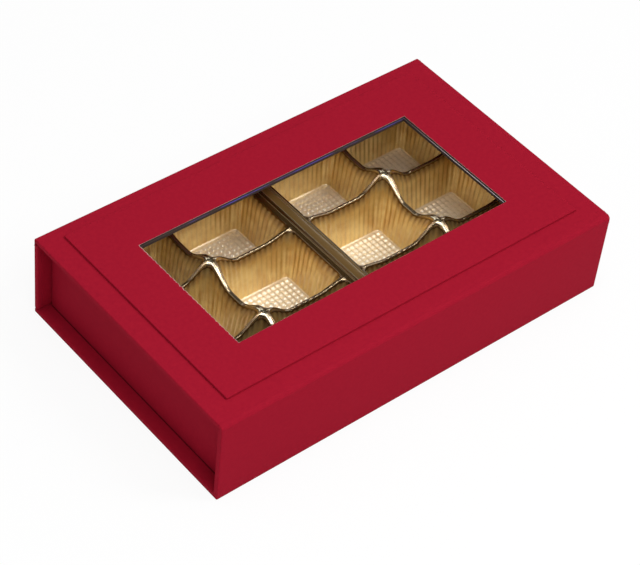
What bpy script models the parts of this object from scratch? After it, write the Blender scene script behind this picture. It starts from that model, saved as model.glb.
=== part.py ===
# Book-style rigid gift box: a paper-wrapped greyboard case of base, spine, lid and magnetic flap,
# a set-up tray on the base, a window in the raised lid panel and a formed insert of twelve cavities.
# Metres. X runs along the box, Y from the spine to the flap, Z up, with the origin under its centre.

import math

import bmesh
import bpy
import numpy as np

for old in list(bpy.data.objects):
    bpy.data.objects.remove(old, do_unlink=True)

# Outside of the closed box, without the raised panel on the lid
box_length = 0.190
box_depth = 0.115
box_height = 0.039

# Stock that the box is made from
board = 0.0015
panel_board = 0.00085
paper = 0.0002
window_film = 0.0002
stay_tape = 0.00012
insert_skin = 0.0005

# Fits
glue_line = 0.0001
running_gap = 0.0003
overrun = 0.001
weld_distance = 0.000002
least_corner = 0.00005

# Case: folds, turned-in paper edges, linings
hinge_fold = 0.0019
flap_fold = 0.0010
base_fold = 0.0009
edge_round = 0.0004
end_round = 0.0004
turn_in = 0.014
lining_margin = 0.002

# Lid: raised panel and window, each measured from the outside of the box
panel_end_margin = 0.0094
panel_spine_margin = 0.0099
panel_flap_margin = 0.0059
panel_round = 0.0004
panel_corner = 0.0015
window_end_margin = 0.0294
window_spine_margin = 0.0286
window_flap_margin = 0.0258
film_overlap = 0.008
lining_window_margin = 0.0006

# Magnets in the flap and the steel discs that they meet in the tray's front wall
magnet_diameter = 0.010
magnet_recess = 0.0001
magnet_pocket_gap = 0.0003
magnet_from_end = 0.033
magnet_from_top = 0.0185

# Tray
end_overhang = 0.0061
tray_corner_round = 0.0004
tray_turn_down = 0.012
tray_lining_drop = 0.004
stay_width = 0.012

# Insert
insert_play = 0.0008
insert_push = 0.0005
insert_headroom = 0.0031
rim_width = 0.0026
skirt_flare = 0.0006
skirt_corner = 0.003
divider_width = 0.0073
rib_foot_width = 0.0044
rib_top_width = 0.0036
rib_height = 0.0011
rib_end_inset = 0.0025
floor_lift = 0.0024
knob_drop = 0.0044
saddle_drop = 0.0067
rise_run = 0.011
crest_drop = 0.0008
peak_shoulder_drop = 0.0022
long_ridge_half = 0.0006
cross_ridge_half = 0.0010
cavity_corner = 0.005
foot_corner = 0.0025
end_wall_draft_run = 0.0023
side_wall_draft_run = 0.0032
floor_fillet = 0.0008
flute_pitch = 0.0029
flute_depth = 0.0003

columns_each_side = 2
rows = 3
fold_segments = 8
round_segments = 2
disc_segments = 32
fewest_flutes = 4
widest_corner_share = 0.8

# Thickness of a board once it is wrapped, and once it is lined as well
wrapped = paper + glue_line + board + glue_line + paper
lined = wrapped + glue_line + paper

# Levels and faces that several pieces share
half_length = box_length / 2
half_depth = box_depth / 2
lid_board_top = box_height - paper - glue_line
lid_board_bottom = lid_board_top - board
lid_underside = box_height - lined
lid_spine_edge = -half_depth + hinge_fold + running_gap
lid_flap_edge = half_depth - max(lined, flap_fold)
panel_rise = panel_board + glue_line
base_board_bottom = paper + glue_line
base_board_top = base_board_bottom + board
spine_bottom = max(wrapped, base_fold) + glue_line
flap_top = box_height - max(wrapped, flap_fold) - running_gap
flap_bottom = wrapped + running_gap
tray_bottom = wrapped + glue_line
tray_top = lid_underside - running_gap
tray_back = -half_depth + lined + glue_line
tray_front = half_depth - lined - running_gap
tray_half_x = half_length - end_overhang
tray_half_y = (tray_front - tray_back) / 2
tray_centre_y = (tray_front + tray_back) / 2

# Layers of a tray wall, as distances in from its outer face
stay_face = paper + glue_line
wall_outer = stay_face + stay_tape + glue_line
wall_inner = wall_outer + board
turn_down_outer = wall_inner + glue_line
turn_down_inner = turn_down_outer + paper
lining_outer = turn_down_inner + glue_line
lining_inner = lining_outer + paper
floor_board_bottom = tray_bottom + paper + glue_line
floor_board_top = floor_board_bottom + board
floor_lining_top = floor_board_top + glue_line + paper

# The fold axes lie in the paper, halfway round each fold
arc_share = 1 - math.sqrt(0.5)
lid_axis = (0, -half_depth + arc_share * hinge_fold, box_height - arc_share * hinge_fold)
flap_axis = (0, half_depth - arc_share * flap_fold, box_height - arc_share * flap_fold)


def finish(obj, colour, roughness, metallic=0.0, alpha=1.0):
    """Gives the object its own Principled material."""
    material = bpy.data.materials.new(obj.name + "_finish")
    material.use_nodes = True
    shader = material.node_tree.nodes["Principled BSDF"]
    shader.inputs["Base Color"].default_value = (*colour, 1.0)
    shader.inputs["Roughness"].default_value = roughness
    shader.inputs["Metallic"].default_value = metallic
    shader.inputs["Alpha"].default_value = alpha
    material.diffuse_color = (*colour, alpha)
    obj.data.materials.clear()
    obj.data.materials.append(material)


def crimson_paper(obj):
    finish(obj, (0.332, 0.012, 0.024), 0.62)


def greyboard(obj):
    finish(obj, (0.262, 0.235, 0.204), 0.9)


def gold_plastic(obj):
    finish(obj, (0.434, 0.262, 0.080), 0.28, metallic=0.85)


def add_object(name, bm, parent=None):
    """Turns a bmesh, in world places, into an object under the given empty."""
    mesh = bpy.data.meshes.new(name)
    bm.to_mesh(mesh)
    bm.free()
    obj = bpy.data.objects.new(name, mesh)
    bpy.context.scene.collection.objects.link(obj)
    if parent:
        mesh.transform(parent.matrix_world.inverted())
        obj.parent = parent
    return obj


def add_empty(name, place, parent=None):
    empty = bpy.data.objects.new(name, None)
    bpy.context.scene.collection.objects.link(empty)
    empty.location = place
    if parent:
        empty.parent = parent
        empty.location = [a - b for a, b in zip(place, parent.location)]
    bpy.context.view_layer.update()
    return empty


def block(low, high):
    """A rectangular block between two corners."""
    bm = bmesh.new()
    bmesh.ops.create_cube(bm)
    for vertex in bm.verts:
        vertex.co = [b if c > 0 else a for a, b, c in zip(low, high, vertex.co)]
    return bm


def cut(obj, bm, operation="DIFFERENCE"):
    """Adds a live Boolean, with its cutter hidden from the render."""
    cutter = add_object(f"{obj.name}_cutter_{len(obj.modifiers)}", bm, obj.parent)
    cutter.hide_render = True
    cutter.display_type = "WIRE"
    modifier = obj.modifiers.new("Boolean", "BOOLEAN")
    modifier.operation = operation
    modifier.solver = "EXACT"
    modifier.object = cutter
    return obj


def plate(name, low, high, parent=None):
    return add_object(name, block(low, high), parent)


def cylinder(centre, axis_index, diameter, low, high):
    """A round disc or cutter between two levels along one axis."""
    bm = bmesh.new()
    bmesh.ops.create_cone(
        bm,
        cap_ends=True,
        segments=disc_segments,
        radius1=diameter / 2,
        radius2=diameter / 2,
        depth=high - low,
    )
    for vertex in bm.verts:
        x, y, z = vertex.co
        z += (low + high) / 2
        if axis_index == 1:
            vertex.co = (centre[0] + x, z, centre[1] - y)
        else:
            vertex.co = (centre[0] + x, centre[1] + y, z)
    return bm


def section_outline(outside, inside):
    """Points of a closed outline in the YZ plane, with the outward direction at each point.

    Both paths are right-angled corners as (y, z, radius). Points of the inside path have no
    outward direction, but for its first, which ends the outside path's last straight.
    """
    corners = outside + inside
    points = []
    outward = []
    for i, (y, z, radius) in enumerate(corners):
        corner = np.array([y, z])
        before = np.array(corners[i - 1][:2]) - corner
        after = np.array(corners[(i + 1) % len(corners)][:2]) - corner
        before /= max(np.linalg.norm(before), weld_distance)
        after /= max(np.linalg.norm(after), weld_distance)
        if radius > 0:
            steps = fold_segments if radius > edge_round else round_segments
            for turn in np.linspace(0, math.pi / 2, steps + 1):
                side = -after * math.cos(turn) - before * math.sin(turn)
                points.append(corner + radius * (before + after + side))
                outward.append(side)
            continue
        points.append(corner)
        if i < len(outside):
            outward.append(-before)
        elif i == len(outside):
            outward.append(-after)
        else:
            outward.append(np.zeros(2))
    points = np.array(points)
    keep = [
        i
        for i in range(len(points))
        if i == 0 or math.dist(points[i], points[i - 1]) > weld_distance
    ]
    return points[keep], np.array(outward)[keep]


def folded_block(outside, inside, half_x, end_radius):
    """A solid right across the box with the outline of both paths as its section.

    Towards each end the outside path is drawn in, so that the paper's folded edge is round.
    """
    points, outward = section_outline(outside, inside)
    turns = np.linspace(0, math.pi / 2, round_segments + 1)
    if not end_radius:
        turns = turns[:1]
    stations = [
        (half_x - end_radius + end_radius * math.cos(a), end_radius - end_radius * math.sin(a))
        for a in turns
    ]
    stations = [(-x, inset) for x, inset in stations] + stations[::-1]
    bm = bmesh.new()
    rings = [
        [bm.verts.new((x, y, z)) for y, z in points - inset * outward] for x, inset in stations
    ]
    bm.faces.new(rings[0])
    bm.faces.new(rings[-1])
    for first, second in zip(rings, rings[1:]):
        for i in range(len(points)):
            after = (i + 1) % len(points)
            bm.faces.new((first[i], second[i], second[after], first[after]))
    bmesh.ops.recalc_face_normals(bm, faces=bm.faces)
    return bm


def wrap(name, outside, inside, room_outside, room_inside, bare, parent=None):
    """Cover paper folded round a board: the room for the board and the bare part of it are cut out."""
    obj = add_object(name, folded_block(outside, inside, half_length, end_round), parent)
    cut(obj, folded_block(room_outside, room_inside, half_length - paper, 0))
    cut(obj, folded_block([], [(y, z, 0) for y, z in bare], half_length - turn_in, 0))
    crimson_paper(obj)
    return obj


def window_cutter(margin=0.0):
    """Straight through every layer of the lid."""
    return block(
        (
            window_end_margin - half_length - margin,
            window_spine_margin - half_depth - margin,
            lid_underside - overrun,
        ),
        (
            half_length - window_end_margin + margin,
            half_depth - window_flap_margin + margin,
            box_height + panel_rise + overrun,
        ),
    )


def round_rectangle(half_x, low_y, high_y, corner, inset):
    """Points of a rectangle with round corners, drawn in by the inset."""
    corner = max(corner - inset, least_corner)
    half_y = (high_y - low_y) / 2 - inset
    turns = np.linspace(0, math.pi / 2, round_segments + 2)
    points = []
    for quarter, (sx, sy) in enumerate(((1, 1), (-1, 1), (-1, -1), (1, -1))):
        angles = turns + quarter * math.pi / 2
        x = sx * (half_x - inset - corner) + corner * np.cos(angles)
        y = sy * (half_y - corner) + corner * np.sin(angles)
        points.append(np.stack([x, y + (low_y + high_y) / 2], axis=1))
    return np.concatenate(points)


def panel_block(inset, low, high, radius):
    """The raised panel's outline, drawn in by the inset, between two levels, with its top edge round."""
    turns = np.linspace(0, math.pi / 2, round_segments + 1) if radius else [math.pi / 2]
    levels = [(inset, low)]
    levels += [
        (inset + radius - radius * math.cos(a), high - radius + radius * math.sin(a)) for a in turns
    ]
    bm = bmesh.new()
    rings = [
        [
            bm.verts.new((x, y, z))
            for x, y in round_rectangle(
                half_length - panel_end_margin,
                panel_spine_margin - half_depth,
                half_depth - panel_flap_margin,
                panel_corner,
                drawn_in,
            )
        ]
        for drawn_in, z in levels
    ]
    bm.faces.new(rings[0])
    bm.faces.new(rings[-1])
    for first, second in zip(rings, rings[1:]):
        for i in range(len(first)):
            after = (i + 1) % len(first)
            bm.faces.new((first[i], second[i], second[after], first[after]))
    bmesh.ops.recalc_face_normals(bm, faces=bm.faces)
    return bm


def build_base():
    board_obj = plate(
        "base_board",
        (-half_length + paper + glue_line, -half_depth + base_fold, base_board_bottom),
        (half_length - paper - glue_line, half_depth - paper - glue_line, base_board_top),
    )
    greyboard(board_obj)

    # One sheet covers base and spine and ends past the fold at the top of the spine
    far = half_depth
    back = -half_depth
    spine_face = back + wrapped
    fold_end = back + hinge_fold
    fold_low = box_height - hinge_fold
    fold_middle = box_height - hinge_fold / 2
    room_back = back + paper
    room_far = far - paper
    room_top = box_height - paper
    wrap(
        "case_wrap_base",
        [
            (fold_end, box_height, 0),
            (back, box_height, hinge_fold),
            (back, 0, base_fold),
            (far, 0, edge_round),
        ],
        [
            (far, wrapped, 0),
            (spine_face, wrapped, 0),
            (spine_face, fold_middle, 0),
            (fold_end, fold_middle, 0),
        ],
        [
            (fold_end + overrun, room_top, 0),
            (room_back, room_top, hinge_fold - paper),
            (room_back, paper, base_fold - paper),
            (room_far, paper, 0),
        ],
        [
            (room_far, wrapped - paper, 0),
            (spine_face - paper, wrapped - paper, 0),
            (spine_face - paper, fold_low, 0),
            (fold_end + overrun, fold_low, 0),
        ],
        [
            (back + board / 2, base_board_bottom + board / 2),
            (far - turn_in, base_board_bottom + board / 2),
            (far - turn_in, wrapped + overrun),
            (spine_face + overrun, wrapped + overrun),
            (spine_face + overrun, fold_middle),
            (back + board / 2, fold_middle),
        ],
    )


def build_spine():
    board_obj = plate(
        "spine_board",
        (-half_length + paper + glue_line, -half_depth + paper + glue_line, spine_bottom),
        (
            half_length - paper - glue_line,
            -half_depth + paper + glue_line + board,
            box_height - hinge_fold - glue_line,
        ),
    )
    greyboard(board_obj)
    lining = plate(
        "spine_lining",
        (-half_length + lining_margin, -half_depth + wrapped + glue_line, spine_bottom),
        (half_length - lining_margin, -half_depth + lined, lid_underside - running_gap),
    )
    crimson_paper(lining)


def build_lid(hinge):
    board_obj = plate(
        "lid_board",
        (-half_length + paper + glue_line, lid_spine_edge, lid_board_bottom),
        (half_length - paper - glue_line, lid_flap_edge, lid_board_top),
        hinge,
    )
    cut(board_obj, window_cutter())
    greyboard(board_obj)

    raised = add_object(
        "panel_board",
        panel_block(
            paper + glue_line,
            lid_board_top + glue_line,
            lid_board_top + glue_line + panel_board,
            0,
        ),
        hinge,
    )
    cut(raised, window_cutter())
    greyboard(raised)

    start = lid_spine_edge
    turned = box_height - wrapped
    fold_low = box_height - max(wrapped, flap_fold)
    fold_start = half_depth - flap_fold
    fold_middle = half_depth - flap_fold / 2
    room_top = box_height - paper
    room_far = half_depth - paper
    cover = wrap(
        "case_wrap_lid",
        [(start, box_height, 0), (half_depth, box_height, flap_fold)],
        [
            (half_depth, fold_low, 0),
            (fold_middle, fold_low, 0),
            (fold_middle, turned, 0),
            (start, turned, 0),
        ],
        [(start - overrun, room_top, 0), (room_far, room_top, flap_fold - paper)],
        [
            (room_far, fold_low - overrun, 0),
            (fold_start, fold_low - overrun, 0),
            (fold_start, turned + paper, 0),
            (start - overrun, turned + paper, 0),
        ],
        [
            (start - overrun, room_top - board / 2),
            (fold_middle, room_top - board / 2),
            (fold_middle, fold_low - overrun),
            (start - overrun, fold_low - overrun),
        ],
        hinge,
    )
    panel_top = box_height + panel_rise
    cut(cover, panel_block(0, box_height - paper / 2, panel_top, panel_round), "UNION")
    cut(
        cover,
        panel_block(paper, room_top - glue_line, panel_top - paper, panel_round - paper),
    )
    cut(cover, window_cutter())

    film_top = lid_board_bottom - glue_line
    film = plate(
        "window_film",
        (
            turn_in + glue_line - half_length,
            window_spine_margin - half_depth - film_overlap,
            film_top - window_film,
        ),
        (
            half_length - turn_in - glue_line,
            half_depth - window_flap_margin + film_overlap,
            film_top,
        ),
        hinge,
    )
    finish(film, (0.92, 0.93, 0.95), 0.04, alpha=0.12)

    lining = plate(
        "lid_lining",
        (-half_length + lining_margin, lid_spine_edge, lid_underside),
        (half_length - lining_margin, lid_flap_edge - running_gap, lid_underside + paper),
        hinge,
    )
    cut(lining, window_cutter(lining_window_margin))
    crimson_paper(lining)


def magnet_places():
    x = half_length - magnet_from_end
    z = box_height - magnet_from_top
    return {"left": (-x, z), "right": (x, z)}


def build_flap(hinge):
    outer = half_depth - paper - glue_line
    inner = outer - board
    board_obj = plate(
        "flap_board",
        (-half_length + paper + glue_line, inner, flap_bottom + paper + glue_line),
        (half_length - paper - glue_line, outer, flap_top),
        hinge,
    )
    for side, centre in magnet_places().items():
        pocket = magnet_diameter + magnet_pocket_gap * 2
        cut(board_obj, cylinder(centre, 1, pocket, inner - overrun, outer + overrun))
        magnet = add_object(
            f"flap_magnet_{side}",
            cylinder(
                centre, 1, magnet_diameter, inner + magnet_recess, outer - magnet_recess
            ),
            hinge,
        )
        finish(magnet, (0.55, 0.55, 0.53), 0.2, metallic=1.0)
    greyboard(board_obj)
    face = half_depth - wrapped
    middle = outer - board / 2
    wrap(
        "case_wrap_flap",
        [
            (half_depth, flap_top, 0),
            (half_depth, flap_bottom, edge_round),
        ],
        [(face, flap_bottom, 0), (face, flap_top, 0)],
        [
            (half_depth - paper, flap_top + overrun, 0),
            (half_depth - paper, flap_bottom + paper, 0),
        ],
        [(face + paper, flap_bottom + paper, 0), (face + paper, flap_top + overrun, 0)],
        [
            (middle, flap_bottom + turn_in),
            (middle, flap_top + overrun),
            (face - overrun, flap_top + overrun),
            (face - overrun, flap_bottom + turn_in),
        ],
        hinge,
    )
    lining = plate(
        "flap_lining",
        (-half_length + lining_margin, half_depth - lined, flap_bottom + lining_margin),
        (half_length - lining_margin, half_depth - lined + paper, flap_top),
        hinge,
    )
    crimson_paper(lining)


def sweep_round_tray(name, profile, corner):
    """Carries a closed profile of insets and heights round the tray."""
    bm = bmesh.new()
    loops = [
        [
            bm.verts.new((x, y, height))
            for x, y in round_rectangle(tray_half_x, tray_back, tray_front, corner, inset)
        ]
        for inset, height in profile
    ]
    for loop, following in zip(loops, loops[1:] + loops[:1]):
        for i, vertex in enumerate(loop):
            after = (i + 1) % len(loop)
            bm.faces.new((vertex, loop[after], following[after], following[i]))
    bmesh.ops.recalc_face_normals(bm, faces=bm.faces)
    return add_object(name, bm)


def build_tray():
    low_x = wall_outer - tray_half_x
    high_x = tray_half_x - wall_outer
    low_z = floor_board_bottom
    high_z = tray_top - paper - glue_line
    walls = {
        "tray_back_board": (
            (low_x, tray_back + wall_outer, low_z),
            (high_x, tray_back + wall_inner, high_z),
        ),
        "tray_front_board": (
            (low_x, tray_front - wall_inner, low_z),
            (high_x, tray_front - wall_outer, high_z),
        ),
        "tray_left_board": (
            (low_x, tray_back + wall_inner + glue_line, low_z),
            (low_x + board, tray_front - wall_inner - glue_line, high_z),
        ),
        "tray_right_board": (
            (high_x - board, tray_back + wall_inner + glue_line, low_z),
            (high_x, tray_front - wall_inner - glue_line, high_z),
        ),
        "tray_floor_board": (
            (low_x + board + glue_line, tray_back + wall_inner + glue_line, low_z),
            (high_x - board - glue_line, tray_front - wall_inner - glue_line, floor_board_top),
        ),
    }
    for name, (low, high) in walls.items():
        wall = plate(name, low, high)
        greyboard(wall)
        if name != "tray_front_board":
            continue
        for side, centre in magnet_places().items():
            pocket = magnet_diameter + magnet_pocket_gap * 2
            cut(wall, cylinder(centre, 1, pocket, low[1] - overrun, high[1] + overrun))
            disc = add_object(
                f"catch_disc_{side}",
                cylinder(
                    centre, 1, magnet_diameter, low[1] + magnet_recess, high[1] - magnet_recess
                ),
            )
            finish(disc, (0.38, 0.38, 0.40), 0.35, metallic=1.0)

    # Cover paper: under the floor, up the walls, over their top edges and down inside
    rounding = np.linspace(0, math.pi / 2, round_segments + 1)
    outside = [(turn_in, tray_bottom), (0, tray_bottom)]
    outside += [
        (edge_round - edge_round * math.cos(a), tray_top - edge_round + edge_round * math.sin(a))
        for a in rounding
    ]
    outside += [(turn_down_inner, tray_top), (turn_down_inner, tray_top - tray_turn_down)]
    inside_round = edge_round - paper
    inside = [
        (turn_down_outer, tray_top - tray_turn_down),
        (turn_down_outer, tray_top - paper),
    ]
    inside += [
        (
            edge_round - inside_round * math.cos(a),
            tray_top - edge_round + inside_round * math.sin(a),
        )
        for a in rounding[::-1]
    ]
    inside += [(paper, tray_bottom + paper), (turn_in, tray_bottom + paper)]
    crimson_paper(sweep_round_tray("tray_wrap", outside + inside, tray_corner_round))

    # Lining: a folded sheet over the floor and up inside the walls
    lining_top = tray_top - tray_lining_drop
    lining = plate(
        "tray_lining",
        (lining_outer - tray_half_x, tray_back + lining_outer, floor_board_top + glue_line),
        (tray_half_x - lining_outer, tray_front - lining_outer, lining_top),
    )
    cut(
        lining,
        block(
            (lining_inner - tray_half_x, tray_back + lining_inner, floor_lining_top),
            (tray_half_x - lining_inner, tray_front - lining_inner, lining_top + overrun),
        ),
    )
    crimson_paper(lining)

    # Paper tape that holds each corner of the walls together, under the cover paper
    for row, y_sign, y_face in (("back", 1, tray_back), ("front", -1, tray_front)):
        for side, x_sign in (("left", 1), ("right", -1)):
            build_corner_stay(f"corner_stay_{row}_{side}", x_sign, y_sign, y_face)


def build_corner_stay(name, x_sign, y_sign, y_face):
    """An angle of tape; the signs point from the tray's corner towards its middle."""
    outline = (
        (stay_face, stay_face),
        (stay_face + stay_width, stay_face),
        (stay_face + stay_width, stay_face + stay_tape),
        (stay_face + stay_tape, stay_face + stay_tape),
        (stay_face + stay_tape, stay_face + stay_width),
        (stay_face, stay_face + stay_width),
    )
    bottom = floor_board_bottom + glue_line
    height = tray_top - edge_round - glue_line - bottom
    bm = bmesh.new()
    corners = [
        bm.verts.new((x_sign * (x - tray_half_x), y_face + y_sign * y, bottom))
        for x, y in outline
    ]
    sheet = bm.faces.new(corners)
    grown = bmesh.ops.extrude_face_region(bm, geom=[sheet])
    moved = [g for g in grown["geom"] if isinstance(g, bmesh.types.BMVert)]
    bmesh.ops.translate(bm, verts=moved, vec=(0, 0, height))
    bmesh.ops.recalc_face_normals(bm, faces=bm.faces)
    stay = add_object(name, bm)
    finish(stay, (0.42, 0.27, 0.15), 0.8)


# The insert, measured from the middle of its cavities
insert_bottom = floor_lining_top + running_gap
insert_half_x = tray_half_x - lining_inner - insert_play
insert_half_y = tray_half_y - lining_inner - insert_play
insert_centre = (-insert_push, tray_centre_y - insert_push)
flange_half_x = insert_half_x - skirt_flare
flange_half_y = insert_half_y - skirt_flare
pitch_x = (2 * (insert_half_x - rim_width) - divider_width) / (2 * columns_each_side)
pitch_y = 2 * (insert_half_y - rim_width) / rows
peak_z = tray_top - insert_headroom
saddle_z = peak_z - saddle_drop
knob_z = peak_z - knob_drop
floor_z = insert_bottom + floor_lift
flutes_x = max(fewest_flutes, round(pitch_x / flute_pitch))
flutes_y = max(fewest_flutes, round(pitch_y / flute_pitch))


def side_points(half, radius, count):
    """One side of a rounded rectangle, from the middle of one corner to just short of the next.

    Returns the distance along the side, the inset of its rounded ends, and the turn of its normal.
    """
    quarter = radius * math.pi / 4
    run = np.arange(count) / count * (2 * (half - radius) + 2 * quarter)
    ahead = np.clip(run - quarter - 2 * (half - radius), 0, None)
    behind = np.clip(quarter - run, 0, None)
    turn = (ahead - behind) / max(radius, weld_distance)
    straight = np.clip(run - quarter, 0, 2 * (half - radius)) - (half - radius)
    return straight + radius * np.sin(turn), radius * (1 - np.cos(turn)), turn


def cavity_ring(half_x, half_y, radius, ripple):
    """A rounded rectangle of points round a cavity; every second point is drawn in by the ripple."""
    radius = min(radius, widest_corner_share * min(half_x, half_y))
    sides = []
    for half, other, count, quarter in (
        (half_x, half_y, 2 * flutes_x, 0),
        (half_y, half_x, 2 * flutes_y, 1),
        (half_x, half_y, 2 * flutes_x, 2),
        (half_y, half_x, 2 * flutes_y, 3),
    ):
        along, inset, turn = side_points(half, radius, count)
        depth = ripple * (np.arange(count) % 2)
        x = along - depth * np.sin(turn)
        y = inset - other + depth * np.cos(turn)
        angle = quarter * math.pi / 2
        sides.append(
            np.stack(
                [x * math.cos(angle) - y * math.sin(angle), x * math.sin(angle) + y * math.cos(angle)],
                axis=1,
            )
        )
    return np.concatenate(sides)


def ease(distance):
    """One at a corner, falling along half a cosine wave to nothing at the end of the rise."""
    return 0.5 + 0.5 * np.cos(math.pi * np.clip(distance / rise_run, 0, 1))


def ridge_heights(corner_heights, side_is_ridge):
    """Heights of the ridge line round a cavity, and how near each point is to a peak."""
    heights = []
    peaks = []
    for side in range(4):
        length, count = ((pitch_x, 2 * flutes_x), (pitch_y, 2 * flutes_y))[side % 2]
        run = np.arange(count) / count * length
        first = ease(run)
        last = ease(length - run)
        start, end = corner_heights[side], corner_heights[(side + 1) % 4]
        if side_is_ridge[side]:
            heights.append(saddle_z + (start - saddle_z) * first + (end - saddle_z) * last)
        else:
            heights.append(np.full(count, knob_z))
        at_start = float(start > knob_z)
        at_end = float(end > knob_z)
        near_start = np.clip(1 - run / cavity_corner, 0, 1)
        near_end = np.clip(1 - (length - run) / cavity_corner, 0, 1)
        peaks.append(at_start * near_start + at_end * near_end)
    return np.concatenate(heights), np.concatenate(peaks)


def skirt_side(side, half_x, half_y, corner):
    """Points of one side of the insert's round-cornered outline, from corner middle to corner middle."""
    half, other = ((half_x, half_y), (half_y, half_x))[side % 2]
    turns = np.linspace(math.pi / 4, 0, round_segments + 1)
    x = np.concatenate(
        [corner - half - corner * np.sin(turns), half - corner + corner * np.sin(turns[::-1])]
    )
    y = np.concatenate([corner - other - corner * np.cos(turns)] * 2)
    y[round_segments + 1 :] = y[: round_segments + 1][::-1]
    angle = side * math.pi / 2
    return np.stack(
        [x * math.cos(angle) - y * math.sin(angle), x * math.sin(angle) + y * math.cos(angle)], axis=1
    )


def build_insert():
    bm = bmesh.new()
    centre = np.array(insert_centre)

    def corner_of(point, height):
        return bm.verts.new((*(centre + point), height))

    def skin(outline, heights):
        return [corner_of(p, h) for p, h in zip(outline, np.broadcast_to(heights, len(outline)))]

    def bridge(first, second):
        for i in range(len(first)):
            after = (i + 1) % len(first)
            bm.faces.new((first[i], first[after], second[after], second[i]))

    first_column = -divider_width / 2 - columns_each_side * pitch_x
    column_edges = [first_column + i * pitch_x for i in range(columns_each_side)]
    column_edges += [divider_width / 2 + i * pitch_x for i in range(columns_each_side)]
    row_edges = [(i - rows / 2) * pitch_y for i in range(rows)]
    edge_lines = {"near": [], "far": [], "left": [], "right": [], "rib_left": [], "rib_right": []}
    for column, left in enumerate(column_edges):
        for row, low in enumerate(row_edges):
            middle = np.array([left + pitch_x / 2, low + pitch_y / 2])
            inner_left = column % columns_each_side > 0
            inner_right = (column + 1) % columns_each_side > 0
            inner_low = row > 0
            inner_high = row < rows - 1
            corner_heights = [
                peak_z if inner_left and inner_low else knob_z,
                peak_z if inner_right and inner_low else knob_z,
                peak_z if inner_right and inner_high else knob_z,
                peak_z if inner_left and inner_high else knob_z,
            ]
            ridge_sides = (inner_low, inner_right, inner_high, inner_left)
            heights, peaks = ridge_heights(corner_heights, ridge_sides)
            boundary = middle + cavity_ring(pitch_x / 2, pitch_y / 2, 0, 0)

            # Upper face: ridge, fluted wall, fillet, floor
            crest = skin(boundary, heights)
            wall_x = pitch_x / 2 - cross_ridge_half
            wall_y = pitch_y / 2 - long_ridge_half
            wall_top = skin(
                middle + cavity_ring(wall_x, wall_y, cavity_corner, flute_depth),
                heights - crest_drop - peak_shoulder_drop * peaks,
            )
            foot_x = wall_x - end_wall_draft_run
            foot_y = wall_y - side_wall_draft_run
            wall_foot = skin(
                middle + cavity_ring(foot_x, foot_y, foot_corner, flute_depth),
                floor_z + floor_fillet,
            )
            floor = skin(
                middle
                + cavity_ring(
                    foot_x - floor_fillet, foot_y - floor_fillet, foot_corner - floor_fillet, 0
                ),
                floor_z,
            )
            bridge(crest, wall_top)
            bridge(wall_top, wall_foot)
            bridge(wall_foot, floor)
            bm.faces.new(floor)

            # Lower face: plain sloping walls that meet under the ridges
            under_crest = skin(boundary, heights - insert_skin)
            under_x = foot_x + insert_skin
            under_y = foot_y + insert_skin
            under_corners = [
                corner_of(middle + np.array(point), floor_z - insert_skin)
                for point in (
                    (-under_x, -under_y),
                    (under_x, -under_y),
                    (under_x, under_y),
                    (-under_x, under_y),
                )
            ]
            bm.faces.new(under_corners)
            start = 0
            for side in range(4):
                count = (2 * flutes_x, 2 * flutes_y)[side % 2]
                line = [under_crest[(start + i) % len(under_crest)] for i in range(count + 1)]
                here, there = under_corners[side], under_corners[(side + 1) % 4]
                for i in range(count):
                    foot = here if i < count // 2 else there
                    bm.faces.new((line[i], line[i + 1], foot))
                bm.faces.new((here, there, line[count // 2]))
                name = (
                    ("near", row == 0),
                    ("rib_left" if column < columns_each_side else "right", not inner_right),
                    ("far", row == rows - 1),
                    ("left" if column < columns_each_side else "rib_right", not inner_left),
                )[side]
                if name[1]:
                    side_line = [tuple(boundary[(start + i) % len(boundary)]) for i in range(count + 1)]
                    edge_lines[name[0]].append(side_line)
                start += count

    # Flat flange round the cavities, and the flat shoulders of the divider, above and below
    outline = {
        "near": sum(edge_lines["near"], []),
        "right": sum(edge_lines["right"], []),
        "far": sum(edge_lines["far"][::-1], []),
        "left": sum(edge_lines["left"][::-1], []),
    }
    rib_left = sum(edge_lines["rib_left"], [])
    rib_right = sum(edge_lines["rib_right"][::-1], [])
    foot_length = rows * pitch_y / 2 - rib_end_inset
    foot_half = rib_foot_width / 2
    rib_foot = [
        (-foot_half, -foot_length),
        (foot_half, -foot_length),
        (foot_half, foot_length),
        (-foot_half, foot_length),
    ]
    slope = (rib_foot_width - rib_top_width) / 2
    top_half = rib_top_width / 2
    top_length = foot_length - slope
    rib_top = [
        (-top_half, -top_length),
        (top_half, -top_length),
        (top_half, top_length),
        (-top_half, top_length),
    ]
    skirt_outlines = {}
    for face, level, inset in (("upper", knob_z, 0), ("lower", knob_z - insert_skin, insert_skin)):
        sides = [
            skirt_side(side, flange_half_x - inset, flange_half_y - inset, skirt_corner - inset)
            for side in range(4)
        ]
        for side, name in enumerate(("near", "right", "far", "left")):
            bm.faces.new(
                skin(np.array(outline[name]), level) + skin(sides[side][::-1], level)
            )
        skirt_outlines[face] = (np.concatenate([s[:-1] for s in sides]), level)
        if face == "upper":
            bm.faces.new(skin(np.array(rib_left + [rib_foot[3], rib_foot[0]]), level))
            bm.faces.new(skin(np.array(rib_right + [rib_foot[1], rib_foot[2]]), level))
            bm.faces.new(
                skin(np.array([rib_left[0], rib_right[-1], rib_foot[1], rib_foot[0]]), level)
            )
            bm.faces.new(
                skin(np.array([rib_right[0], rib_left[-1], rib_foot[3], rib_foot[2]]), level)
            )
            bridge(skin(np.array(rib_foot), level), skin(np.array(rib_top), level + rib_height))
            bm.faces.new(skin(np.array(rib_top), level + rib_height))
        else:
            bm.faces.new(skin(np.array(rib_left + rib_right), level))

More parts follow.
